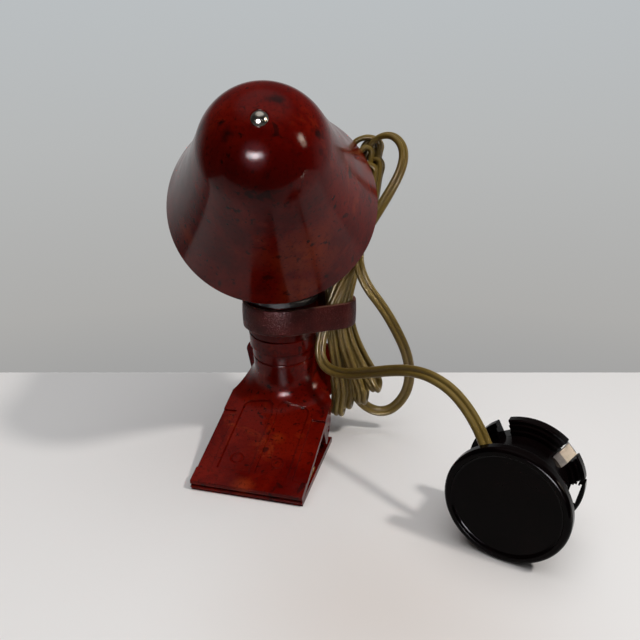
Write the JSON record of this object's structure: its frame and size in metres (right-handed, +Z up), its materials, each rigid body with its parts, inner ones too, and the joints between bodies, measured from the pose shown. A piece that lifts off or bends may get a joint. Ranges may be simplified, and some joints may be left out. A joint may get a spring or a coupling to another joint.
{
  "type": "clip-on darkroom safelight",
  "caption": "Clip-on darkroom safelight: bakelite bell shade tilting on a bulb clip, lampholder neck over a sprung jaw clip, hank of twin flex in a leather strap, round plug.",
  "frame": {"origin": "middle of the jaws' front edge, on the surface the clip's lower leaf lies on", "axes": "+Z up, +Y from the jaws' front edge to the hinge, +X to the right seen from the jaws"},
  "size_m": [0.1746, 0.1131, 0.159],
  "materials": {
    "mottled_bakelite": "glossy mottled red-brown",
    "black_bakelite": "glossy black",
    "holder_black": "satin",
    "steel": "satin",
    "nickel": "polished nickel",
    "brass": "satin",
    "red_glass": "red lacquered",
    "cork": "matt",
    "leather": "grained",
    "flex": "olive gold, satin",
    "rubber_black": "matt"
  },
  "bodies": {
    "lamp": {"front_jaw": "mottled_bakelite", "hinge_pin": "steel", "jaw_spring": "steel", "front_jaw_lining": "cork", "lampholder_shell": "holder_black", "lampholder_insulator": "holder_black", "lampholder_sleeve": "brass", "lampholder_contact": "brass", "bulb_cap": "brass", "bulb_tip": "nickel", "bulb_glass": "red_glass", "strap": "leather", "strap_stud": "nickel", "cord_bush": "rubber_black", "cord_tail": "flex", "cord_hank": "flex", "cord_loop": "flex", "cord_lead": "flex", "plug_grip": "black_bakelite", "plug_body": "black_bakelite", "plug_pin_left": "nickel", "plug_pin_right": "nickel", "plug_earth_clip_upper": "nickel", "plug_earth_clip_lower": "nickel", "plug_screw": "brass"},
    "rear_clip": {"rear_jaw": "mottled_bakelite", "jaw_spring_leg": "steel", "rear_jaw_lining": "cork"},
    "clip": {"bulb_clip": "steel", "clip_rivet_right": "steel", "clip_rivet_left": "steel"},
    "shade": {"shade": "mottled_bakelite", "shade_stirrup": "steel", "shade_screw": "nickel", "shade_nut": "steel"}
  },
  "joints": [
    {"name": "jaw_hinge", "type": "hinge", "parent": "lamp", "child": "rear_clip", "pos_m": [0, 0.0443, 0.0106], "axis": [1, 0, 0], "range_deg": [0, 14], "stiffness_Nm_per_rad": 0.25, "springref_deg": -51.57},
    {"name": "clip_swivel", "type": "hinge", "parent": "lamp", "child": "clip", "pos_m": [0, 0.056, 0.114], "axis": [0, 0, 1], "range_deg": [-75, 0]},
    {"name": "shade_tilt", "type": "hinge", "parent": "clip", "child": "shade", "pos_m": [0, 0.056, 0.114], "axis": [0.9659, 0.2588, 0], "range_deg": [-6, 10]}
  ]
}
